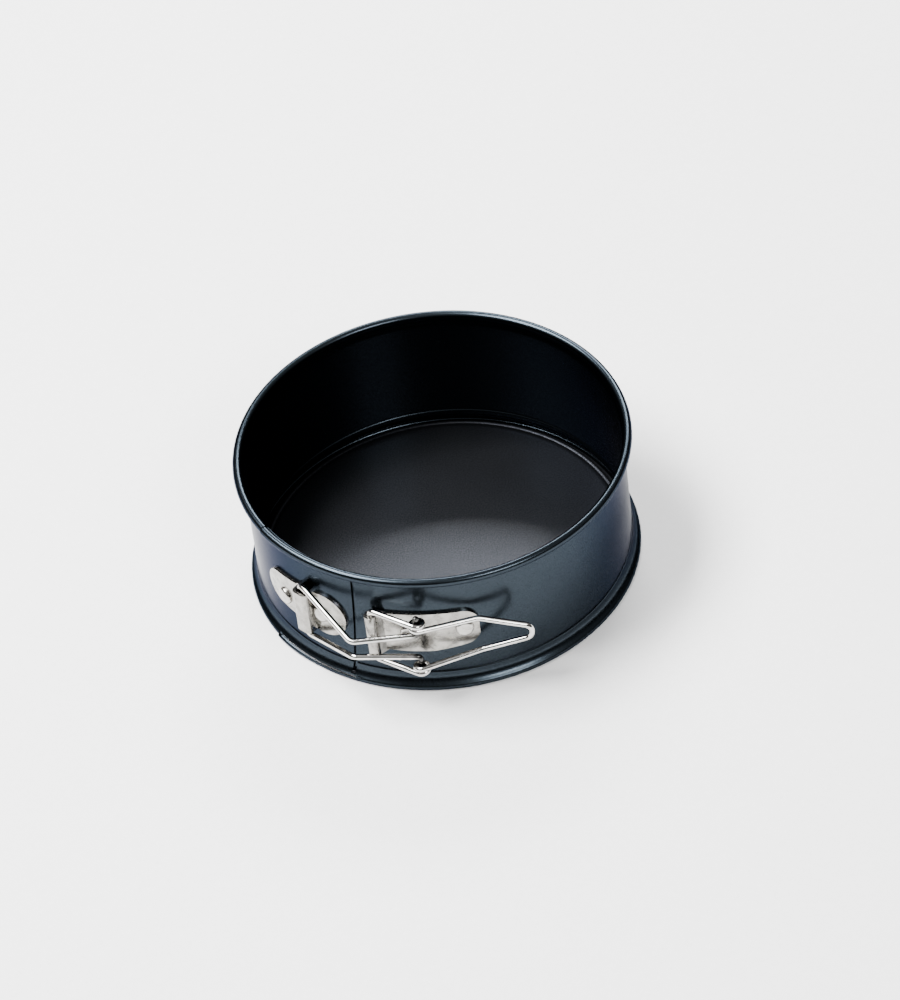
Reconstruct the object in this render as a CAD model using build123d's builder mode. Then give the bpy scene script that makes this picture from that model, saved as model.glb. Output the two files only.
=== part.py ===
from build123d import *
from math import asin, atan2, cos, degrees, hypot, radians, sin
import os

# Springform pan: a sprung steel band with rolled beads, a lift-out base disc, and an over-centre wire latch.
# Frame: Z is the pan's axis, +Z up; -Y is the latch side; the origin is the middle of the disc's top face.
# Heights below are counted from the table, and the finished pieces are lowered by PANEL_Z to that origin.
# Azimuths are in degrees, counted from -Y towards +X.

# ---- driving dimensions, mm ----
SHEET = 0.5              # thickness of the band and the disc
WALL_R = 60.0            # outer radius of the band's wall
COVE_TOP_Z = 5.8         # where the wall starts to flare into the base bead
RIM_Z = 46.35            # centre of the rolled rim bead
RIM_R = 61.55
BEAD_R = 1.45            # outer radius of the rim roll
FLARE_Z = 3.2            # height over which the wall eases out into the rim roll
BASE_BEAD_R = 1.2        # outer radius of the base roll
BASE_R = 61.2            # centre of the base roll
TRIM_R = 60.62           # the keeper end has no rolls outside this radius where it slides in the fingers
TONGUE_R = 58.85         # inner radius of the keeper end's tongue
LIP_R = 59.6             # inner edge of the lip under the disc

SEAM_AZ = -30.0          # where the two ends of the band meet
FINGER_AZ = -63.0        # where the latch end's rolled fingers stop
FLEX_AZ = (20.0, 145.0, 270.0)   # hinge lines that stand for the band's flexing
FLEX_GAP = 0.04          # degrees left open at each flex line
SEAM_GAP = 1.15          # degrees between the two wall ends
TONGUE_AZ = -21.0        # how far the keeper end's tongue reaches behind the latch end

DISC_R = 60.2
PANEL_R = 58.6
PANEL_Z = 2.8
FLANGE_Z = 0.6

LATCH_Z = 24.3           # mid height of the whole latch
PLATE = 1.0              # thickness of the latch plates
WIRE_R = 0.95
PIVOT_AZ = -24.4         # lever bar, in the hinge plate's knuckle
PIVOT_R = 63.0
COIL_X = -12.2           # axis of the lever's coils
COIL_Y = -65.4
COIL_R = 1.95            # centreline radius of a coil
KEEPER_BAR_AZ = -48.3    # link bar, in the keeper plate's bridge
KEEPER_BAR_R = 62.3
BRIDGE_AZ = -47.5
BRIDGE_HALF = 2.05       # half width of the space under the bridge
BRIDGE_TOP = 63.7        # radius of the inside of the bridge
BRIDGE_Z = 8.1           # half height of the bridge
BRIDGE_WALL = 0.9
KNUCKLE_R = 1.95
KNUCKLE_Z = 8.4          # half height of the hinge knuckle
RUNNING = 0.05           # radial clearance of a wire turning in a hole
HINGE_RIVETS = ((-14.0, 0.4), (2.3, 0.9))        # azimuth, and height from the latch's middle
KEEPER_RIVETS = ((-57.5, -2.0), (-42.1, 0.0))
RIVET_R = 1.5
RIVET_HEAD_R = 2.9
RIVET_TAIL_R = 2.2
RIVET_TAIL = 0.25        # how far a rivet's inner head stands into the pan
RIVET_HEAD = 1.1         # how far a rivet's head stands out of its plate
HINGE_PLATE_AZ = (-24.4, 6.7)
KEEPER_PLATE_MID = -49.8

LEVER_BAR_Z = 10.2       # half heights along the lever, from the latch's middle
COIL_LOW_Z = 8.1
HANDLE_CORNER = (6.85, -63.55, 6.8)
HANDLE_TIP = (22.75, -65.45, 2.25)
HANDLE_BENDS = [5.0, 2.7]   # bend radii at the corner and at the nose
LINK_BAR_Z = 9.7
LINK_SHOULDER = 0.13     # share of the slanting leg that stays at full height
LINK_BEND = (-32.9, -62.9, 3.2)
LINK_FOOT_Z = 4.7        # where the link's leg turns up into its pin
LINK_PIN_Z = 12.0


def polar(radius, azimuth):
    """The x, y of a point at this radius and azimuth."""
    return radius * sin(radians(azimuth)), -radius * cos(radians(azimuth))


def spoke(azimuth):
    """The upright plane through the pan's axis at this azimuth: x outwards, y up."""
    x, y = polar(1, azimuth)
    return Plane(origin=(0, 0, 0), x_dir=(x, y, 0), z_dir=(y, -x, 0))


def tangent_plane(azimuth, height):
    """The upright plane that faces outwards at this azimuth: x along the wall, y up."""
    x, y = polar(1, azimuth)
    return Plane(origin=(0, 0, height), x_dir=(-y, x, 0), z_dir=(x, y, 0))


def sheet_line(start, end):
    """A straight stretch of sheet, seen in section, along its middle line."""
    reach_x, reach_y = end[0] - start[0], end[1] - start[1]
    length = hypot(reach_x, reach_y)
    off_x, off_y = -reach_y / length * SHEET / 2, reach_x / length * SHEET / 2
    with BuildLine() as edge:
        Polyline(
            (start[0] + off_x, start[1] + off_y),
            (end[0] + off_x, end[1] + off_y),
            (end[0] - off_x, end[1] - off_y),
            (start[0] - off_x, start[1] - off_y),
            close=True,
        )
    make_face(edge.edges())


def sheet_arc(centre, radius, start, sweep_angle):
    """A rolled stretch of sheet, seen in section, along its middle line."""
    with BuildLine() as edge:
        outer = CenterArc(centre, radius + SHEET / 2, start, sweep_angle)
        inner = CenterArc(centre, radius - SHEET / 2, start, sweep_angle)
        Line(outer @ 0, inner @ 0)
        Line(outer @ 1, inner @ 1)
    make_face(edge.edges())


def wall_section():
    """Section of the band, from the lip or the base roll up to the end of the rim roll."""
    wall = WALL_R - SHEET / 2
    roll = BEAD_R - SHEET / 2
    foot = BASE_BEAD_R - SHEET / 2
    side = wall - BASE_R
    rise = COVE_TOP_Z - BASE_BEAD_R
    cove = (side ** 2 + rise ** 2 - foot ** 2) / (2 * (foot - side))
    meet = degrees(atan2(rise, cove + side))
    flare = RIM_R - roll - wall
    ease = (flare ** 2 + FLARE_Z ** 2) / (4 * flare)
    turn = degrees(asin(FLARE_Z / (2 * ease)))
    sheet_line((LIP_R, BASE_BEAD_R - foot), (BASE_R, BASE_BEAD_R - foot))
    sheet_arc((BASE_R, BASE_BEAD_R), foot, -90, 90 + meet)
    sheet_arc((wall + cove, COVE_TOP_Z), cove, 180, meet)
    sheet_line((wall, COVE_TOP_Z), (wall, RIM_Z - FLARE_Z))
    sheet_arc((wall + ease, RIM_Z - FLARE_Z), ease, 180, -turn)
    sheet_arc((RIM_R - roll - ease, RIM_Z), ease, -turn, turn)
    sheet_arc((RIM_R, RIM_Z), roll, -95, 275)


def band_piece(start, end):
    """One stretch of the band, as a turned section; it joins the part being built."""
    with BuildSketch(spoke(start)) as section:
        wall_section()
    revolve(section.sketch.faces(), axis=Axis.Z, revolution_arc=end - start)


def finger(centre_r, centre_z, radius, first, last):
    """A rolled finger without its wall, reaching from the latch end over the keeper end."""
    with BuildSketch(spoke(FINGER_AZ)) as section:
        sheet_arc((centre_r, centre_z), radius - SHEET / 2, first, last - first)
    revolve(section.sketch.faces(), axis=Axis.Z, revolution_arc=SEAM_AZ - FINGER_AZ)


def ring_sector(inner, outer, low, high, start, end, mode=Mode.ADD):
    """A block of a ring between two radii, two heights and two azimuths."""
    with BuildSketch(spoke(start)) as section:
        with Locations(((inner + outer) / 2, (low + high) / 2)):
            Rectangle(outer - inner, high - low)
    revolve(section.sketch.faces(), axis=Axis.Z, revolution_arc=end - start, mode=mode)


os.makedirs("parts", exist_ok=True)

# ---- band: four stretches of one steel strip, hinged where it flexes ----
with BuildPart() as band_latch_end:
    band_piece(SEAM_AZ, FLEX_AZ[0] - FLEX_GAP)
    finger(RIM_R, RIM_Z, BEAD_R, -80, 140)
    finger(BASE_R, BASE_BEAD_R, BASE_BEAD_R, -110, 22)

with BuildPart() as band_right:
    band_piece(FLEX_AZ[0], FLEX_AZ[1] - FLEX_GAP)

with BuildPart() as band_back:
    band_piece(FLEX_AZ[1], FLEX_AZ[2] - FLEX_GAP)

with BuildPart() as band_keeper_end:
    band_piece(FLEX_AZ[2] - 360, SEAM_AZ - SEAM_GAP)
    trim = {"start": FINGER_AZ - 0.4, "end": SEAM_AZ, "mode": Mode.SUBTRACT}
    ring_sector(TRIM_R, RIM_R + 4, -1, RIM_Z + 4, **trim)
    ring_sector(LIP_R - 1, TRIM_R + 1, RIM_Z + 0.55, RIM_Z + 4, **trim)
    ring_sector(LIP_R - 1, TRIM_R + 1, -1, 2, **trim)
    tongue_low, tongue_high = COVE_TOP_Z + 1.2, RIM_Z - FLARE_Z - 1
    ring_sector(TONGUE_R, WALL_R - SHEET / 2, tongue_low, tongue_high, SEAM_AZ - 4, SEAM_AZ - SEAM_GAP)
    ring_sector(TONGUE_R, WALL_R - SHEET - 0.2, tongue_low, tongue_high, SEAM_AZ - 2, TONGUE_AZ)

# ---- base disc: a flange held in the band's groove, and a raised panel ----
with BuildPart() as base_disc:
    with BuildSketch(spoke(0)) as press:
        step_out, step_in = PANEL_R + 0.45, PANEL_R - 0.35
        with BuildLine():
            Polyline(
                (DISC_R, FLANGE_Z),
                (DISC_R, FLANGE_Z + SHEET),
                (step_out, FLANGE_Z + SHEET),
                (step_in, PANEL_Z),
                (0, PANEL_Z),
                (0, PANEL_Z - SHEET),
                (step_in - SHEET, PANEL_Z - SHEET),
                (step_out - SHEET, FLANGE_Z),
                close=True,
            )
        make_face()
        fillet([v for v in press.vertices() if 50 < hypot(v.X, v.Y) < DISC_R - 0.2], 0.4)
    revolve(press.sketch.faces(), axis=Axis.Z)


# ---- rivets and the holes they fill ----
PLATE_OUTER = WALL_R + PLATE
REACH = WALL_R + 6       # from the pan's axis to outside the latch plates


def rivet_hole(azimuth, height):
    """Cut a rivet's hole outwards from the pan's axis, through the wall or a plate."""
    with BuildSketch(tangent_plane(azimuth, LATCH_Z + height)) as hole:
        Circle(RIVET_R)
    extrude(hole.sketch.faces(), amount=REACH, mode=Mode.SUBTRACT)


def rivet(azimuth, height):
    """A rivet through the wall and a plate, with a domed head outside and a low one inside."""
    upright = (Align.CENTER, Align.CENTER, Align.MIN)
    inside = WALL_R - SHEET
    with BuildPart() as made:
        with Locations((0, 0, PLATE_OUTER)):
            Cylinder(RIVET_HEAD_R, RIVET_HEAD, align=upright)
        fillet(made.edges().sort_by(Axis.Z)[-1], RIVET_HEAD * 0.85)
        with Locations((0, 0, inside)):
            Cylinder(RIVET_R, PLATE_OUTER - inside, align=upright)
        with Locations((0, 0, inside - RIVET_TAIL)):
            Cylinder(RIVET_TAIL_R, RIVET_TAIL, align=upright)
    return made.part.moved(tangent_plane(azimuth, LATCH_Z + height).location)


# ---- hinge plate: riveted to the latch end, with the curled knuckle that holds the lever ----
pivot_x, pivot_y = polar(PIVOT_R, PIVOT_AZ)
with BuildPart() as hinge_plate:
    with BuildSketch(tangent_plane(sum(HINGE_PLATE_AZ) / 2, LATCH_Z)):
        with Locations((-7.0, 0)):
            RectangleRounded(19.6, 15.6, 1.2)
        with Locations((7.0, 0.9)):
            RectangleRounded(19.2, 14.2, 5.6)
        make_hull()
    extrude(amount=REACH)
    ring_sector(WALL_R, PLATE_OUTER, LATCH_Z - 9, LATCH_Z + 9, *HINGE_PLATE_AZ, mode=Mode.INTERSECT)
    with BuildSketch(Plane.XY.offset(LATCH_Z - KNUCKLE_Z)):
        with Locations((pivot_x, pivot_y)):
            Circle(KNUCKLE_R)
        with BuildLine():
            Polyline(
                (pivot_x, pivot_y), polar(PIVOT_R, PIVOT_AZ + 1.75),
                polar(PLATE_OUTER - 0.5, PIVOT_AZ + 3.4), polar(PLATE_OUTER - 0.5, PIVOT_AZ), close=True,
            )
        make_face()
    extrude(amount=2 * KNUCKLE_Z)
    with Locations((pivot_x, pivot_y, LATCH_Z)):
        Cylinder(WIRE_R + RUNNING, 4 * KNUCKLE_Z, mode=Mode.SUBTRACT)
    for azimuth, height in HINGE_RIVETS:
        rivet_hole(azimuth, height)

# ---- keeper plate: riveted to the keeper end, with the bridge that holds the link's bar ----
bridge_x = (*polar(1, BRIDGE_AZ), 0)
bridge_inner, tunnel_inner = WALL_R - 4, WALL_R - 6      # both start inside the wall and are cut back to it
bridge_outer = BRIDGE_TOP + BRIDGE_WALL
with BuildPart() as keeper_plate:
    with BuildSketch(tangent_plane(KEEPER_PLATE_MID, LATCH_Z)):
        with Locations((-10.4, 0)):
            Circle(6.4)
        with Locations((8.6, 0)):
            Circle(8.3)
        make_hull()
        with Locations((2.4, 0)):
            RectangleRounded(8.6, 2 * BRIDGE_Z, 1.5)
    extrude(amount=REACH)
    ring_sector(WALL_R, PLATE_OUTER, LATCH_Z - 12, LATCH_Z + 12, -70, -30, mode=Mode.INTERSECT)
    with BuildSketch(Plane(origin=(0, 0, LATCH_Z - BRIDGE_Z), x_dir=bridge_x, z_dir=(0, 0, 1))):
        with Locations(((bridge_inner + bridge_outer) / 2, 0)):
            RectangleRounded(bridge_outer - bridge_inner, 2 * (BRIDGE_HALF + BRIDGE_WALL), 1.7)
    extrude(amount=2 * BRIDGE_Z)
    with BuildSketch(Plane(origin=(0, 0, LATCH_Z - 12), x_dir=bridge_x, z_dir=(0, 0, 1))):
        with Locations(((tunnel_inner + BRIDGE_TOP) / 2, 0)):
            RectangleRounded(BRIDGE_TOP - tunnel_inner, 2 * BRIDGE_HALF, 0.9)
    extrude(amount=24, mode=Mode.SUBTRACT)
    with Locations((0, 0, LATCH_Z)):
        Cylinder(WALL_R, 40, mode=Mode.SUBTRACT)
    for azimuth, height in KEEPER_RIVETS:
        rivet_hole(azimuth, height)


# ---- wires ----
def wire_run(points, radii):
    """A round wire along straight runs with rounded corners."""
    with BuildLine() as line:
        FilletPolyline(*points, radius=radii)
    with BuildSketch(Plane(origin=line.wire() @ 0, z_dir=line.wire() % 0)) as section:
        Circle(WIRE_R)
    sweep(section.sketch.faces(), path=line.wire())


def knob(point):
    """A ball that rounds off the meeting of two runs of wire."""
    with Locations(point):
        Sphere(WIRE_R)


arm = hypot(COIL_X - pivot_x, COIL_Y - pivot_y)
arm_angle = degrees(atan2(COIL_Y - pivot_y, COIL_X - pivot_x)) - degrees(asin(COIL_R / arm))
corner_x, corner_y, corner_z = HANDLE_CORNER
to_corner = hypot(corner_x - COIL_X, corner_y - COIL_Y)
handle_angle = degrees(atan2(corner_y - COIL_Y, corner_x - COIL_X)) + degrees(asin(COIL_R / to_corner))
coil_turn = 360 + handle_angle - arm_angle
coil_rise = LEVER_BAR_Z - COIL_LOW_Z
first, last = radians(arm_angle - 90), radians(handle_angle - 90)
coil_in = (COIL_X + COIL_R * cos(first), COIL_Y + COIL_R * sin(first))
coil_out = (COIL_X + COIL_R * cos(last), COIL_Y + COIL_R * sin(last))
coil_plane = Plane(origin=(COIL_X, COIL_Y, LATCH_Z + COIL_LOW_Z), x_dir=(cos(last), sin(last), 0))

with BuildPart() as lever:
    wire_run(
        [
            (pivot_x, pivot_y, LATCH_Z),
            (pivot_x, pivot_y, LATCH_Z + LEVER_BAR_Z),
            (*coil_in, LATCH_Z + LEVER_BAR_Z),
        ],
        1.6,
    )
    knob((*coil_in, LATCH_Z + LEVER_BAR_Z))
    with BuildLine(coil_plane) as coil:
        Helix(pitch=coil_rise * 360 / coil_turn, height=coil_rise, radius=COIL_R, lefthand=True)
    with BuildSketch(Plane(origin=coil.wire() @ 0, z_dir=coil.wire() % 0)):
        Circle(WIRE_R)
    sweep(path=coil.wire(), is_frenet=True)
    knob((*coil_out, LATCH_Z + COIL_LOW_Z))
    tip_x, tip_y, tip_z = HANDLE_TIP
    wire_run(
        [
            (*coil_out, LATCH_Z + COIL_LOW_Z),
            (corner_x, corner_y, LATCH_Z + corner_z),
            (tip_x, tip_y, LATCH_Z + tip_z),
            (tip_x, tip_y, LATCH_Z),
        ],
        HANDLE_BENDS,
    )
    mirror(about=Plane.XY.offset(LATCH_Z))

keeper_x, keeper_y = polar(KEEPER_BAR_R, KEEPER_BAR_AZ)
bend_x, bend_y, bend_z = LINK_BEND
with BuildPart() as link:
    wire_run(
        [
            (keeper_x, keeper_y, LATCH_Z),
            (keeper_x, keeper_y, LATCH_Z + LINK_BAR_Z),
            (
                keeper_x + LINK_SHOULDER * (bend_x - keeper_x),
                keeper_y + LINK_SHOULDER * (bend_y - keeper_y),
                LATCH_Z + LINK_BAR_Z,
            ),
            (bend_x, bend_y, LATCH_Z + bend_z),
            (COIL_X, COIL_Y, LATCH_Z + LINK_FOOT_Z),
            (COIL_X, COIL_Y, LATCH_Z + LINK_PIN_Z),
        ],
        [1.5, 2.5, 3.0, 1.4],
    )
    mirror(about=Plane.XY.offset(LATCH_Z))

rivets = {
    "rivet_hinge_left": rivet(*HINGE_RIVETS[0]),
    "rivet_hinge_right": rivet(*HINGE_RIVETS[1]),
    "rivet_keeper_left": rivet(*KEEPER_RIVETS[0]),
    "rivet_keeper_right": rivet(*KEEPER_RIVETS[1]),
}

# ---- rivet holes in the band's wall ----
with BuildPart() as latch_end_drilled:
    add(band_latch_end.part)
    for azimuth, height in HINGE_RIVETS:
        rivet_hole(azimuth, height)

with BuildPart() as keeper_end_drilled:
    add(band_keeper_end.part)
    for azimuth, height in KEEPER_RIVETS:
        rivet_hole(azimuth, height)

# ---- labels and files ----
nodes = {
    "band_latch_end": latch_end_drilled.part,
    "band_right": band_right.part,
    "band_back": band_back.part,
    "band_keeper_end": keeper_end_drilled.part,
    "base_disc": base_disc.part,
    "hinge_plate": hinge_plate.part,
    "keeper_plate": keeper_plate.part,
    "lever": lever.part,
    "link": link.part,
    **rivets,
}
for label, solid in nodes.items():
    placed = solid.moved(Location((0, 0, -PANEL_Z)))
    placed.label = label
    export_step(placed, f"parts/{label}.step")
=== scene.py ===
from math import asin, atan2, cos, degrees, hypot, radians, sin, tan
import bmesh
import bpy
from mathutils import Matrix, Vector


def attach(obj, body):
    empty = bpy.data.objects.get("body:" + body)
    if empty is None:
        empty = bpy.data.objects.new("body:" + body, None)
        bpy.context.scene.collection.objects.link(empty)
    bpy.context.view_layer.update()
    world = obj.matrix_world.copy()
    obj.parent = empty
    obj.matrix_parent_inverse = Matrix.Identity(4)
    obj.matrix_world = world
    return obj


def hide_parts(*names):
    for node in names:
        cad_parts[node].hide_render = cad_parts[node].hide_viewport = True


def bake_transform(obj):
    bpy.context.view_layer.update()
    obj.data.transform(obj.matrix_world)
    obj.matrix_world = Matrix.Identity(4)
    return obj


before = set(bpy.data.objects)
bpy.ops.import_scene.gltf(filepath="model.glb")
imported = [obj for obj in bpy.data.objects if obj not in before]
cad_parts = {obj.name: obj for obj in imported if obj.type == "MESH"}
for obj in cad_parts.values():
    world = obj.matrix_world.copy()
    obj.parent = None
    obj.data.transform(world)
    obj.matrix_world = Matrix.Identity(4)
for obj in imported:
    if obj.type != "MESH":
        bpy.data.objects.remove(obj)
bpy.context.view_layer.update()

# Springform pan, in the CAD frame: the origin is the middle of the disc's top face, above the table.
# The named sizes of the pan are millimetres, and heights are counted from the table. place() turns them
# into the frame's metres. Azimuths are degrees, counted from -Y, the latch side, towards +X.
MM = 0.001
TABLE_Z = -2.8

# ---- sizes shared with the CAD model ----
SHEET = 0.5                                   # thickness of the band and the disc
WALL_R = 60.0                                 # outer radius of the wall
COVE_TOP_Z = 5.8                              # where the wall flares into the base roll
FLARE_Z = 3.2                                 # height over which the wall eases out into the rim roll
RIM_R, RIM_Z, RIM_ROLL = 61.55, 46.35, 1.2    # the rim roll's centre, and the radius of its middle line
BASE_R, BASE_Z, BASE_ROLL = 61.2, 1.2, 0.95   # the same for the base roll
LIP_R = 59.6                                  # inner edge of the lip under the disc
DISC_R, PANEL_R, PANEL_Z, FLANGE_Z = 60.2, 58.6, 2.8, 0.6
SEAM_AZ, FINGER_AZ = -30.0, -63.0             # where the band's ends meet, and where the rolled fingers end
FLEX_AZ = (20.0, 145.0, 270.0)                # hinge lines of the band
LATCH_Z = 24.3                                # mid height of the latch
WIRE_R = 0.95
COIL_AXIS = (-12.2, -65.4)                    # the coils of the lever, with the link's pins in them

# ---- details of the visual model only ----
SHARP_ANGLE = 38.0                            # degrees between faces that stay a hard edge
CREASE_DEPTH, CREASE_HALF = 0.34, 0.60        # depth and half height of the line round the wall's foot
SAME_POINT = 1e-6                             # points of a section closer together than this are one


def polar(radius, azimuth, z=0.0):
    """A point in mm at this radius and azimuth; azimuth 0 is -Y, and it grows towards +X."""
    return Vector((radius * sin(radians(azimuth)), -radius * cos(radians(azimuth)), z))


def place(point):
    """A point counted in mm from the table, in the frame's metres."""
    return Vector((point[0], point[1], point[2] + TABLE_Z)) * MM


def smooth(t):
    """0 to 1 with soft ends."""
    t = min(1.0, max(0.0, t))
    return t * t * (3 - 2 * t)


def new_object(name, mesh, material):
    """A linked object with one material and smooth faces."""
    mesh.materials.append(material)
    for face in mesh.polygons:
        face.use_smooth = True
    mesh.set_sharp_from_angle(angle=radians(SHARP_ANGLE))
    made = bpy.data.objects.new(name, mesh)
    bpy.context.scene.collection.objects.link(made)
    return made


# ---- materials ----
def node_material(name):
    """An empty node material: the tree, and its Principled shader."""
    made = bpy.data.materials.new(name)
    made.use_nodes = True
    tree = made.node_tree
    return made, tree, tree.nodes["Principled BSDF"]


def add(tree, kind, **values):
    """A node with some of its sockets or settings filled in."""
    node = tree.nodes.new(kind)
    for key, value in values.items():
        if key in node.inputs:
            node.inputs[key].default_value = value
        else:
            setattr(node, key, value)
    return node


def noise(tree, scale, detail=2.0, stretch=(1, 1, 1)):
    """Noise in the object's own coordinates; scale is counted per metre."""
    where = add(tree, "ShaderNodeTexCoord")
    mapping = add(tree, "ShaderNodeMapping")
    mapping.inputs["Scale"].default_value = stretch
    texture = add(tree, "ShaderNodeTexNoise")
    texture.inputs["Scale"].default_value = scale
    texture.inputs["Detail"].default_value = detail
    tree.links.new(where.outputs["Object"], mapping.inputs["Vector"])
    tree.links.new(mapping.outputs["Vector"], texture.inputs["Vector"])
    return texture.outputs["Fac"]


def ramp(tree, fac, stops):
    """A colour ramp over fac; stops are (position, grey or colour)."""
    node = add(tree, "ShaderNodeValToRGB")
    elements = node.color_ramp.elements
    while len(elements) < len(stops):
        elements.new(0.5)
    for element, (position, value) in zip(elements, stops):
        element.position = position
        element.color = (value, value, value, 1) if isinstance(value, float) else (*value, 1)
    tree.links.new(fac, node.inputs["Fac"])
    return node.outputs["Color"]


def bump(tree, shader, heights):
    """Stack bumps: each is (height output, strength, distance in metres)."""
    last = None
    for height, strength, distance in heights:
        node = add(tree, "ShaderNodeBump")
        node.inputs["Strength"].default_value = strength
        node.inputs["Distance"].default_value = distance
        tree.links.new(height, node.inputs["Height"])
        if last:
            tree.links.new(last.outputs["Normal"], node.inputs["Normal"])
        last = node
    tree.links.new(last.outputs["Normal"], shader.inputs["Normal"])


def coating_material(name, dark, light, edge, roughness, flake_size, flake_depth):
    """Non-stick coating over steel: fine metallic flake in a dark, faintly uneven film.

    edge is the film's tint at grazing angles; flake_size is counted per metre.
    """
    made, tree, shader = node_material(name)
    flake = noise(tree, flake_size, 2.0)
    drift = noise(tree, 55.0, 2.0, (1, 1, 0.3))
    shade = add(tree, "ShaderNodeMath", operation="MULTIPLY_ADD")
    tree.links.new(drift, shade.inputs[0])
    shade.inputs[1].default_value = 0.08
    tree.links.new(flake, shade.inputs[2])
    colour = ramp(tree, shade.outputs[0], [(0.38, dark), (0.71, light)])
    gloss = ramp(tree, flake, [(0.3, roughness + 0.05), (0.7, roughness - 0.04)])
    tree.links.new(colour, shader.inputs["Base Color"])
    tree.links.new(gloss, shader.inputs["Roughness"])
    shader.inputs["Metallic"].default_value = 1.0
    shader.inputs["Specular Tint"].default_value = (*edge, 1)
    shader.inputs["Coat Weight"].default_value = 0.04
    shader.inputs["Coat Roughness"].default_value = 0.12
    bump(tree, shader, [(drift, 0.02, 0.00008), (flake, flake_depth, 0.00002)])
    return made


def plate_material(name, light, dark, roughness):
    """Pressed steel with a satin surface, rolled lines along it and a few rubbed spots."""
    made, tree, shader = node_material(name)
    lines = noise(tree, 900.0, 3.0, (1, 1, 9))
    spots = noise(tree, 420.0, 4.0)
    shade = add(tree, "ShaderNodeMath", operation="MULTIPLY_ADD")
    tree.links.new(lines, shade.inputs[0])
    shade.inputs[1].default_value = 0.45
    tree.links.new(spots, shade.inputs[2])
    colour = ramp(tree, shade.outputs[0], [(0.5, dark), (0.85, light)])
    gloss = ramp(tree, shade.outputs[0], [(0.45, roughness + 0.12), (0.9, roughness - 0.05)])
    tree.links.new(colour, shader.inputs["Base Color"])
    tree.links.new(gloss, shader.inputs["Roughness"])
    shader.inputs["Metallic"].default_value = 1.0
    bump(tree, shader, [(lines, 0.12, 0.00005), (spots, 0.10, 0.00008)])
    return made


def wire_material(name):
    """Nickel-plated wire with fine drawing marks, and painted shade towards the coil's axis: on the coil's
    inner side and on the link's pins in it.
    """
    made, tree, shader = node_material(name)
    marks = noise(tree, 1500.0, 3.0)
    haze = noise(tree, 300.0, 3.0)
    plating = ramp(tree, haze, [(0.35, (0.44, 0.43, 0.41)), (0.62, (0.60, 0.59, 0.57))])
    # Painted shade: the base colour falls to a tenth near the coil's axis and is full again 2.6 mm out, at
    # any height, so the coil's inner side and the pins look shaded.
    where = add(tree, "ShaderNodeTexCoord")
    flat = add(tree, "ShaderNodeMapping")
    flat.inputs["Scale"].default_value = (1, 1, 0)
    from_axis = add(tree, "ShaderNodeVectorMath", operation="DISTANCE")
    from_axis.inputs[1].default_value = (COIL_AXIS[0] * MM, COIL_AXIS[1] * MM, 0)
    inside = add(tree, "ShaderNodeMapRange")
    inside.inputs["From Min"].default_value = 1.1 * MM
    inside.inputs["From Max"].default_value = 2.6 * MM
    inside.inputs["To Min"].default_value = 0.10
    inside.inputs["To Max"].default_value = 1.0
    painted_coil_shade = add(tree, "ShaderNodeVectorMath", operation="SCALE")
    tree.links.new(where.outputs["Object"], flat.inputs["Vector"])
    tree.links.new(flat.outputs["Vector"], from_axis.inputs[0])
    tree.links.new(from_axis.outputs["Value"], inside.inputs["Value"])
    tree.links.new(plating, painted_coil_shade.inputs[0])
    tree.links.new(inside.outputs["Result"], painted_coil_shade.inputs["Scale"])
    tree.links.new(painted_coil_shade.outputs["Vector"], shader.inputs["Base Color"])
    tree.links.new(ramp(tree, marks, [(0.3, 0.12), (0.7, 0.06)]), shader.inputs["Roughness"])
    shader.inputs["Metallic"].default_value = 1.0
    bump(tree, shader, [(marks, 0.05, 0.00003)])
    return made


def table_material():
    """Pale matt paper-like floor."""
    made, tree, shader = node_material("table_pale")
    grain = noise(tree, 500.0, 4.0)
    tree.links.new(ramp(tree, grain, [(0.3, 0.93), (0.7, 0.96)]), shader.inputs["Base Color"])
    shader.inputs["Roughness"].default_value = 0.9
    return made


COATING = coating_material(
    "coating", dark=(0.013, 0.0175, 0.022), light=(0.028, 0.036, 0.044), edge=(0.44, 0.44, 0.48),
    roughness=0.24, flake_size=4400.0, flake_depth=0.13,
)
DISC_COATING = coating_material(
    "disc_coating", dark=(0.010, 0.011, 0.013), light=(0.036, 0.038, 0.043), edge=(0.55, 0.56, 0.60),
    roughness=0.40, flake_size=2600.0, flake_depth=0.42,
)
PLATE_STEEL = plate_material(
    "plate_steel", light=(0.34, 0.328, 0.303), dark=(0.20, 0.192, 0.176), roughness=0.22
)
RIVET_STEEL = plate_material(
    "rivet_steel", light=(0.46, 0.445, 0.42), dark=(0.30, 0.288, 0.268), roughness=0.15
)
WIRE_CHROME = wire_material("wire_chrome")


# ---- sheet built from cells: a section along the metal, swept round the axis ----
def arc_points(centre, radius, start, turn, step=9.0):
    """Points on an arc of the section, start and end included."""
    count = max(2, int(abs(turn) / step) + 1)
    return [
        (centre[0] + radius * cos(radians(start + turn * k / count)),
         centre[1] + radius * sin(radians(start + turn * k / count)))
        for k in range(count + 1)
    ]


def crease(wall, middle):
    """A fine rolled line that stands into the pan round the foot of the wall."""
    shares = [k / 5 for k in range(-5, 6)]
    return [
        (wall - CREASE_DEPTH * cos(radians(90 * share)) ** 2, middle + CREASE_HALF * share)
        for share in shares
    ]


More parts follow.
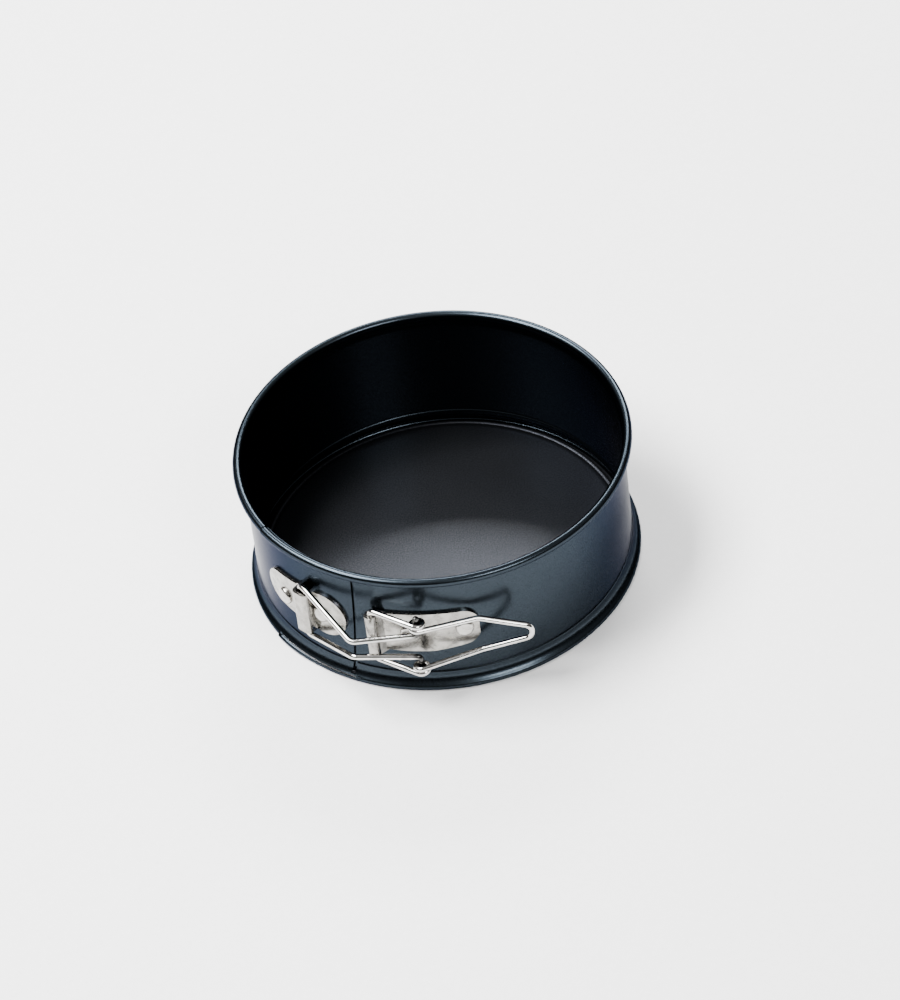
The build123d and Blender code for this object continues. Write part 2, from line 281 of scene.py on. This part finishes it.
def band_section():
    """The points of the band's middle line, and the name of the stretch that each one is on."""
    wall = WALL_R - SHEET / 2
    side, rise = wall - BASE_R, COVE_TOP_Z - BASE_Z
    cove = (side ** 2 + rise ** 2 - BASE_ROLL ** 2) / (2 * (BASE_ROLL - side))
    meet = degrees(atan2(rise, cove + side))
    flare = RIM_R - RIM_ROLL - wall
    ease = (flare ** 2 + FLARE_Z ** 2) / (4 * flare)
    turn = degrees(asin(FLARE_Z / (2 * ease)))
    lip_z = BASE_Z - BASE_ROLL
    stretches = [
        ("lip", [(LIP_R, lip_z), (LIP_R + 0.8, lip_z), (BASE_R, lip_z)]),
        ("base_roll", arc_points((BASE_R, BASE_Z), BASE_ROLL, -90, 90 + meet)),
        ("cove", arc_points((wall + cove, COVE_TOP_Z), cove, 180 + meet, -meet, 6.0)),
        ("cove", [(wall, COVE_TOP_Z)]),
        ("wall", crease(wall, COVE_TOP_Z + CREASE_HALF)),
        ("wall", [(wall, COVE_TOP_Z + (RIM_Z - FLARE_Z - COVE_TOP_Z) * k / 18) for k in range(1, 19)]),
        ("flare", arc_points((wall + ease, RIM_Z - FLARE_Z), ease, 180, -turn, 6.0)),
        ("flare", arc_points((RIM_R - RIM_ROLL - ease, RIM_Z), ease, -turn, turn, 6.0)),
        ("rim_roll", arc_points((RIM_R, RIM_Z), RIM_ROLL, 180, -275)),
    ]
    points, names = [], []
    for name, run in stretches:
        for point in run:
            if points and hypot(point[0] - points[-1][0], point[1] - points[-1][1]) < SAME_POINT:
                continue
            points.append(point)
            names.append(name)
    return points, names


def sheet_mesh(name, section, azimuths, active, shift=None, closed=False):
    """A closed skin round the sheet cells that are active.

    section holds points of the middle line, and azimuths the columns. active(i, j) says if there is metal
    between points i and i + 1 and columns j and j + 1. shift(i, azimuth, height) gives a point's change of
    azimuth and radius. closed joins the last column to the first.
    """
    rows, columns = len(section), len(azimuths)
    normals = []
    for i in range(rows):
        before, after = section[max(0, i - 1)], section[min(rows - 1, i + 1)]
        along = Vector((after[0] - before[0], after[1] - before[1])).normalized()
        normals.append((along.y, -along.x))
    mesh = bmesh.new()
    made = {}

    def corner(i, j, side):
        """The skin's vertex at point i and column j, on one side of the sheet: 1 or -1."""
        j = j % (columns - 1) if closed else j
        if (i, j, side) not in made:
            radius = section[i][0] + side * normals[i][0] * SHEET / 2
            height = section[i][1] + side * normals[i][1] * SHEET / 2
            azimuth = azimuths[j]
            if shift:
                turn, push = shift(i, azimuth, height)
                azimuth, radius = azimuth + turn, radius + push
            made[i, j, side] = mesh.verts.new(place(polar(radius, azimuth, height)))
        return made[i, j, side]

    def there(i, j):
        """True if this cell is inside the section and the columns, and active."""
        if closed:
            j = j % (columns - 1)
        return 0 <= i < rows - 1 and 0 <= j < columns - 1 and active(i, j)

    for i in range(rows - 1):
        for j in range(columns - 1):
            if not active(i, j):
                continue
            a, b = (i, j), (i + 1, j)
            c, d = (i + 1, j + 1), (i, j + 1)
            mesh.faces.new([corner(*p, 1) for p in (a, d, c, b)])
            mesh.faces.new([corner(*p, -1) for p in (a, b, c, d)])
            for (p, q), (ni, nj) in (
                ((a, b), (i, j - 1)), ((b, c), (i + 1, j)), ((c, d), (i, j + 1)), ((d, a), (i - 1, j)),
            ):
                if not there(ni, nj):
                    mesh.faces.new([corner(*p, 1), corner(*q, 1), corner(*q, -1), corner(*p, -1)])
    bmesh.ops.recalc_face_normals(mesh, faces=mesh.faces)
    data = bpy.data.meshes.new(name)
    mesh.to_mesh(data)
    mesh.free()
    return data


def steps(first, last, size):
    """Evenly spaced values from first to last, about size apart."""
    count = max(1, round(abs(last - first) / size))
    return [first + (last - first) * k / count for k in range(count + 1)]


SECTION, PART_NAMES = band_section()
UPRIGHT = ("cove", "wall", "flare")
ROLLS = {"rim_roll": (RIM_R, RIM_Z), "base_roll": (BASE_R, BASE_Z)}
STEP = 1.25                                   # degrees between columns
NUDGE = 0.01                                  # degrees that tell a column on a limit from its neighbour
FINGER_ARC = {"rim_roll": (-96, 140), "base_roll": (-180, 24)}  # a finger's metal, by angle round its roll
FINGER_PUSH = {"rim_roll": 0.28, "base_roll": 0.55}    # how far its tip stands off the keeper end
PUSH_START, PUSH_REACH = 12, 20               # degrees past the seam before a finger rises, and while it does
SLANT_HELD, SLANT_FADE = 3.0, 7.0             # degrees beside the seam with the full slant, and of its fading
SLANT_MID_Z, SLANT_HALF_Z = 25.0, 20.0        # the slant's middle height, and the height that counts as 1
SLANT_LEAN, SLANT_BOW, SLANT_MID = 1.6, -0.6, -0.4    # degrees, for the height, its square, and all heights
KEEPER_ROLL_END = 156                         # angle where the keeper end's cut-back rim roll stops


def seam_slant(azimuth, height):
    """The band was cut a little out of square: the seam leans along the wall, and fades out beside it."""
    near = 1 - smooth((abs(azimuth - SEAM_AZ) - SLANT_HELD) / SLANT_FADE)
    up = (height - SLANT_MID_Z) / SLANT_HALF_Z
    return near * (SLANT_LEAN * up + SLANT_BOW * up * up + SLANT_MID)


def roll_angle(i):
    """Where the middle of the cell after point i stands round its roll: 0 is outwards, 90 is up."""
    (first_r, first_z), (last_r, last_z) = SECTION[i], SECTION[i + 1]
    centre_r, centre_z = ROLLS[PART_NAMES[i + 1]]
    return degrees(atan2((first_z + last_z) / 2 - centre_z, (first_r + last_r) / 2 - centre_r))


def finger_cell(i):
    """True where the latch end's finger has metal: the outer part of each roll."""
    name = PART_NAMES[i + 1]
    return name in ROLLS and FINGER_ARC[name][0] < roll_angle(i) < FINGER_ARC[name][1]


def latch_shift(i, azimuth, height):
    """The seam's slant on the wall, and the rise of the fingers on the rolls."""
    name = PART_NAMES[i]
    if name in ROLLS:
        return 0.0, FINGER_PUSH[name] * smooth((SEAM_AZ - PUSH_START - azimuth) / PUSH_REACH)
    return seam_slant(azimuth, height), 0.0


# The latch end, with its fingers, and the right of the band as far as mid way to the back.
SKIN_ENDS = ((FLEX_AZ[0] + FLEX_AZ[1]) / 2, (FLEX_AZ[1] + FLEX_AZ[2]) / 2)
columns = steps(FINGER_AZ, SEAM_AZ, STEP)[:-1] + steps(SEAM_AZ, SKIN_ENDS[0], STEP)
latch_skin = new_object("band_skin_latch_end", sheet_mesh(
    "band_skin_latch_end", SECTION, columns,
    active=lambda i, j: columns[j] > SEAM_AZ - NUDGE or finger_cell(i), shift=latch_shift,
), COATING)
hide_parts("band_latch_end", "band_right")

# The back of the band.
columns = steps(*SKIN_ENDS, STEP)
back_skin = new_object("band_skin_back", sheet_mesh(
    "band_skin_back", SECTION, columns, active=lambda i, j: True,
), COATING)
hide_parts("band_back")

# The left of the band and the keeper end, whose wall steps in behind the latch end and goes on as a tongue.
KEEPER_TRIM_AZ = FINGER_AZ - 0.4              # where its rolls are cut back
STEP_AZ, STEP_WIDTH = SEAM_AZ - 1.25, 0.35    # where its wall steps in, and over how many degrees
TONGUE_AZ = -21.0                             # where the tongue ends
TONGUE_DEPTH, TONGUE_LOW = 0.68, 3.8          # how far in it lies, and the height where it starts


def keeper_cell(i, azimuth):
    """The keeper end's metal: whole as far as the fingers, then without its rolls, then only a tongue."""
    name = PART_NAMES[i + 1]
    if azimuth < KEEPER_TRIM_AZ - NUDGE:
        return True
    if azimuth < STEP_AZ - NUDGE:
        return name in UPRIGHT or name == "rim_roll" and roll_angle(i) > KEEPER_ROLL_END
    return name in UPRIGHT and min(SECTION[i][1], SECTION[i + 1][1]) > TONGUE_LOW


def keeper_shift(i, azimuth, height):
    """The seam's slant, and the step in behind the latch end."""
    turn = 0.0 if PART_NAMES[i] in ROLLS else seam_slant(azimuth, height)
    return turn, -TONGUE_DEPTH * smooth((azimuth - STEP_AZ) / STEP_WIDTH)


columns = (
    steps(SKIN_ENDS[1] - 360, KEEPER_TRIM_AZ, STEP)[:-1]
    + steps(KEEPER_TRIM_AZ, STEP_AZ, STEP)[:-1]
    + steps(STEP_AZ, STEP_AZ + STEP_WIDTH, STEP_WIDTH / 4)[:-1]
    + steps(STEP_AZ + STEP_WIDTH, TONGUE_AZ, STEP)
)
keeper_skin = new_object("band_skin_keeper_end", sheet_mesh(
    "band_skin_keeper_end", SECTION, columns,
    active=lambda i, j: keeper_cell(i, (columns[j] + columns[j + 1]) / 2), shift=keeper_shift,
), COATING)
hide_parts("band_keeper_end")


def flex(skin):
    """Bake the skin's placement into its mesh."""
    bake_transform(skin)


flex(latch_skin)
flex(back_skin)
flex(keeper_skin)

# ---- base disc: pressed plate with a raised panel, a soft step and a flat flange ----
mid_low, mid_high = FLANGE_Z + SHEET / 2, PANEL_Z - SHEET / 2
BEND_R, BEND_OUT, BEND_IN, BEND_TURN = 0.45, 0.62, 0.42, 62    # the step's bends: size, centres and turn
GROOVE = ((0.75, 0.0), (1.0, 0.12), (1.3, 0.18), (1.6, 0.12), (2.0, 0.0), (3.0, 0.0))    # way in, and depth
DISC_RINGS = (54, 48, 40, 30, 20, 10, 4, 1.2, 0.01)
DISC_STEP = 1.5
disc_section = (
    [(DISC_R, mid_low), (PANEL_R + 1.0, mid_low)]
    + arc_points((PANEL_R + BEND_OUT, mid_low + BEND_R), BEND_R, -90, -BEND_TURN, 15)
    + arc_points((PANEL_R - BEND_IN, mid_high - BEND_R), BEND_R, 90 - BEND_TURN, BEND_TURN, 15)
    + [(PANEL_R - inward, mid_high - depth) for inward, depth in GROOVE]
    + [(radius, mid_high) for radius in DISC_RINGS]
)
columns = steps(0, 360, DISC_STEP)
disc_mesh = sheet_mesh("disc", disc_section, columns, active=lambda i, j: True, closed=True)
disc = new_object("disc_pressed", disc_mesh, DISC_COATING)
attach(disc, "pan")
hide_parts("base_disc")


# ---- wires ----
WIRE_SIDES = 20
BEND_STEP, COIL_STEP = 7, 9           # degrees between the points of a bend and of a coil
SHORTEST_RUN = 0.02                   # points of a path closer together than this are one
END_CROWN = 0.6                       # how far a wire's end stands out, as a share of its radius
END_ANGLES = (25, 50, 72, 86)         # steps of the rounding of a wire's end


def rounded(points, radii):
    """The path through these points with each inner corner turned on an arc of its radius."""
    path = [Vector(points[0])]
    for k in range(1, len(points) - 1):
        here = Vector(points[k])
        back = (Vector(points[k - 1]) - here).normalized()
        ahead = (Vector(points[k + 1]) - here).normalized()
        half = back.angle(ahead) / 2
        cut = radii[k - 1] / tan(half)
        bisector = (back + ahead).normalized()
        centre = here + bisector * (radii[k - 1] / sin(half))
        first, last = here + back * cut - centre, here + ahead * cut - centre
        turn = first.angle(last)
        axis = first.cross(last).normalized()
        count = max(4, int(degrees(turn) / BEND_STEP))
        for n in range(count + 1):
            angle = turn * n / count
            path.append(centre + first * cos(angle) + axis.cross(first) * sin(angle))
    path.append(Vector(points[-1]))
    return path


def wire(name, path, rounded_ends=False):
    """A round wire along the path, as an object; its section doesn't twist on the way."""
    trimmed = [path[0]]
    for point in path[1:]:
        if (point - trimmed[-1]).length > SHORTEST_RUN:
            trimmed.append(point)
    path = trimmed
    mesh = bmesh.new()
    rings = []
    tangent = (path[1] - path[0]).normalized()
    side = tangent.orthogonal().normalized()
    stations = []
    for k, point in enumerate(path):
        before, after = path[max(0, k - 1)], path[min(len(path) - 1, k + 1)]
        turned = (after - before).normalized()
        side = (tangent.rotation_difference(turned) @ side).normalized()
        tangent = turned
        stations.append((point, tangent.copy(), side.copy(), WIRE_R))
    if rounded_ends:
        for at, sign in ((0, -1), (-1, 1)):
            point, tangent, side = stations[at][:3]
            crown = tangent * sign * WIRE_R * END_CROWN
            extra = [
                (point + crown * sin(radians(a)), tangent, side, WIRE_R * cos(radians(a)))
                for a in END_ANGLES
            ]
            stations = extra[::-1] + stations if sign < 0 else stations + extra
    angles = [radians(360 * n / WIRE_SIDES) for n in range(WIRE_SIDES)]
    for point, tangent, side, radius in stations:
        up = tangent.cross(side)
        around = [side * cos(a) + up * sin(a) for a in angles]
        rings.append([mesh.verts.new(place(point + arm * radius)) for arm in around])
    for one, two in zip(rings, rings[1:]):
        for n in range(WIRE_SIDES):
            m = (n + 1) % WIRE_SIDES
            mesh.faces.new([one[n], one[m], two[m], two[n]])
    mesh.faces.new(rings[0][::-1])
    mesh.faces.new(rings[-1])
    bmesh.ops.recalc_face_normals(mesh, faces=mesh.faces)
    data = bpy.data.meshes.new(name)
    mesh.to_mesh(data)
    mesh.free()
    return new_object(name, data, WIRE_CHROME)


# The heights of both wires are counted from the latch's middle, where each is its own mirror image.
PIVOT = polar(63.0, -24.4)            # the lever's bar, in the hinge plate's knuckle
COIL = Vector((*COIL_AXIS, 0))
COIL_R = 1.95                         # radius of the coil's middle line
BAR = polar(62.3, -48.3)              # the link's bar, in the keeper plate's bridge
LEVER_BAR_Z, COIL_LOW_Z = 10.2, 8.1   # top of the lever's bar and of the coil, and the coil's lower end
LEG_BEND = 1.6
HANDLE_CORNER = (6.85, -63.55, 6.8)
HANDLE_TIP = (22.75, -65.45, 2.25)
HANDLE_BENDS = [5.0, 2.7]
LINK_BAR_Z, LINK_FOOT_Z, LINK_PIN_Z = 9.7, 4.7, 12.0
LINK_SHOULDER = 0.13                  # the link keeps the bar's height over this share of its upper run
LINK_BEND = (-32.9, -62.9, 3.2)
LINK_BENDS = [1.5, 2.5, 3.0, 1.4]


def mirrored(half):
    """A half path that starts at mid height, with its mirror image below added in front."""
    return [Vector((p.x, p.y, 2 * LATCH_Z - p.z)) for p in half[:0:-1]] + half


def coil_path(turns_from, turn, high, low):
    """A helix round the coil's axis from the high end down to the low one."""
    count = int(turn / COIL_STEP)
    return [
        Vector((
            COIL.x + COIL_R * cos(radians(turns_from + turn * k / count)),
            COIL.y + COIL_R * sin(radians(turns_from + turn * k / count)),
            high + (low - high) * k / count,
        ))
        for k in range(count + 1)
    ]


reach = COIL - PIVOT
leg_angle = degrees(atan2(reach.y, reach.x)) - degrees(asin(COIL_R / reach.length))
to_corner = Vector((*HANDLE_CORNER[:2], 0)) - COIL
handle_angle = degrees(atan2(to_corner.y, to_corner.x)) + degrees(asin(COIL_R / to_corner.length))
coil = coil_path(
    leg_angle - 90, 360 + handle_angle - leg_angle, LATCH_Z + LEVER_BAR_Z, LATCH_Z + COIL_LOW_Z
)
leg = rounded([(PIVOT.x, PIVOT.y, LATCH_Z), (PIVOT.x, PIVOT.y, LATCH_Z + LEVER_BAR_Z), coil[0]], [LEG_BEND])
handle = rounded(
    [
        coil[-1],
        (HANDLE_CORNER[0], HANDLE_CORNER[1], LATCH_Z + HANDLE_CORNER[2]),
        (HANDLE_TIP[0], HANDLE_TIP[1], LATCH_Z + HANDLE_TIP[2]),
        (HANDLE_TIP[0], HANDLE_TIP[1], LATCH_Z),
    ],
    HANDLE_BENDS,
)
half = leg[:-1] + coil + handle[1:]
closed_loop = half + [Vector((p.x, p.y, 2 * LATCH_Z - p.z)) for p in half[-2::-1]]
lever = wire("lever_wire", closed_loop)
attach(lever, "lever")
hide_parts("lever")

shoulder = BAR + (Vector((LINK_BEND[0], LINK_BEND[1], 0)) - BAR) * LINK_SHOULDER
link_half = rounded(
    [
        (BAR.x, BAR.y, LATCH_Z),
        (BAR.x, BAR.y, LATCH_Z + LINK_BAR_Z),
        (shoulder.x, shoulder.y, LATCH_Z + LINK_BAR_Z),
        (LINK_BEND[0], LINK_BEND[1], LATCH_Z + LINK_BEND[2]),
        (COIL.x, COIL.y, LATCH_Z + LINK_FOOT_Z),
        (COIL.x, COIL.y, LATCH_Z + LINK_PIN_Z),
    ],
    LINK_BENDS,
)
link = wire("link_wire", mirrored(link_half), rounded_ends=True)
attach(link, "link")
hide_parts("link")

# ---- CAD nodes that stay, with their materials ----
for name, material in (
    ("hinge_plate", PLATE_STEEL), ("keeper_plate", PLATE_STEEL),
    ("rivet_hinge_left", RIVET_STEEL), ("rivet_hinge_right", RIVET_STEEL),
    ("rivet_keeper_left", RIVET_STEEL), ("rivet_keeper_right", RIVET_STEEL),
):
    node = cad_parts[name]
    for slot in node.material_slots:
        slot.material = material

# ---- floor, light and camera ----
floor_mesh = bpy.data.meshes.new("table")
FLOOR_HALF = 3.0
corners = [(x * FLOOR_HALF, y * FLOOR_HALF, TABLE_Z * MM) for x, y in ((-1, -1), (1, -1), (1, 1), (-1, 1))]
floor_mesh.from_pydata(corners, [], [(0, 1, 2, 3)])
new_object("table", floor_mesh, table_material())

# The sky is dark near the horizon, so that the dark coating keeps its depth, and brighter overhead.
world = bpy.data.worlds.new("studio")
bpy.context.scene.world = world
world.use_nodes = True
sky = world.node_tree
where = add(sky, "ShaderNodeTexCoord")
split = add(sky, "ShaderNodeSeparateXYZ")
sky.links.new(where.outputs["Generated"], split.inputs[0])
sky.links.new(
    ramp(sky, split.outputs["Z"], [(0.0, 0.03), (0.30, 0.06), (0.62, 0.36), (1.0, 0.70)]),
    sky.nodes["Background"].inputs["Color"],
)
sky.nodes["Background"].inputs["Strength"].default_value = 1.0


LAMP_AIM = Vector((0, 0, 0.02))


def softbox(name, where, width, height, power):
    """A rectangular area light, aimed at the pan's middle."""
    data = bpy.data.lights.new(name, "AREA")
    data.shape = "RECTANGLE"
    data.size, data.size_y, data.energy = width, height, power
    lamp = bpy.data.objects.new(name, data)
    lamp.location = where
    lamp.rotation_euler = (LAMP_AIM - Vector(where)).to_track_quat("-Z", "Y").to_euler()
    bpy.context.scene.collection.objects.link(lamp)


softbox("key", (-0.55, 0.10, 1.10), width=0.9, height=0.5, power=62.0)
softbox("back", (0.18, 0.95, 0.72), width=0.6, height=0.26, power=18.0)
softbox("front", (0.45, -0.85, 0.95), width=0.5, height=0.35, power=13.0)

# The camera stands 1.85 m away and 43.7 degrees up, rolled a little, with a long lens.
DISTANCE, ELEVATION, ROLL = 1.854, 43.67, -7.83
LENS_MM, SENSOR_MM = 209.34, 36.0
AIM_RIGHT, AIM_UP = 0.00128, 0.01559     # the pan stands a little left of the picture's middle and below it
TARGET_Z = -0.0015
target = Vector((0, 0, TARGET_Z))
ahead = Vector((0, cos(radians(ELEVATION)), -sin(radians(ELEVATION))))
flat_right, flat_up = Vector((1, 0, 0)), Vector((0, sin(radians(ELEVATION)), cos(radians(ELEVATION))))
right = flat_right * cos(radians(ROLL)) + flat_up * sin(radians(ROLL))
up = flat_up * cos(radians(ROLL)) - flat_right * sin(radians(ROLL))
stand = target - ahead * DISTANCE
aim = target + right * AIM_RIGHT + up * AIM_UP
camera_data = bpy.data.cameras.new("camera")
camera_data.sensor_width = SENSOR_MM
camera_data.lens = LENS_MM
camera_data.clip_start, camera_data.clip_end = 0.05, 20
camera = bpy.data.objects.new("camera", camera_data)
bpy.context.scene.collection.objects.link(camera)
look = (aim - stand).normalized()
side_x = look.cross(up).normalized()
top_y = side_x.cross(look).normalized()
turned = Matrix((side_x, top_y, -look)).transposed().to_4x4()
camera.matrix_world = Matrix.Translation(stand) @ turned
bpy.context.scene.camera = camera
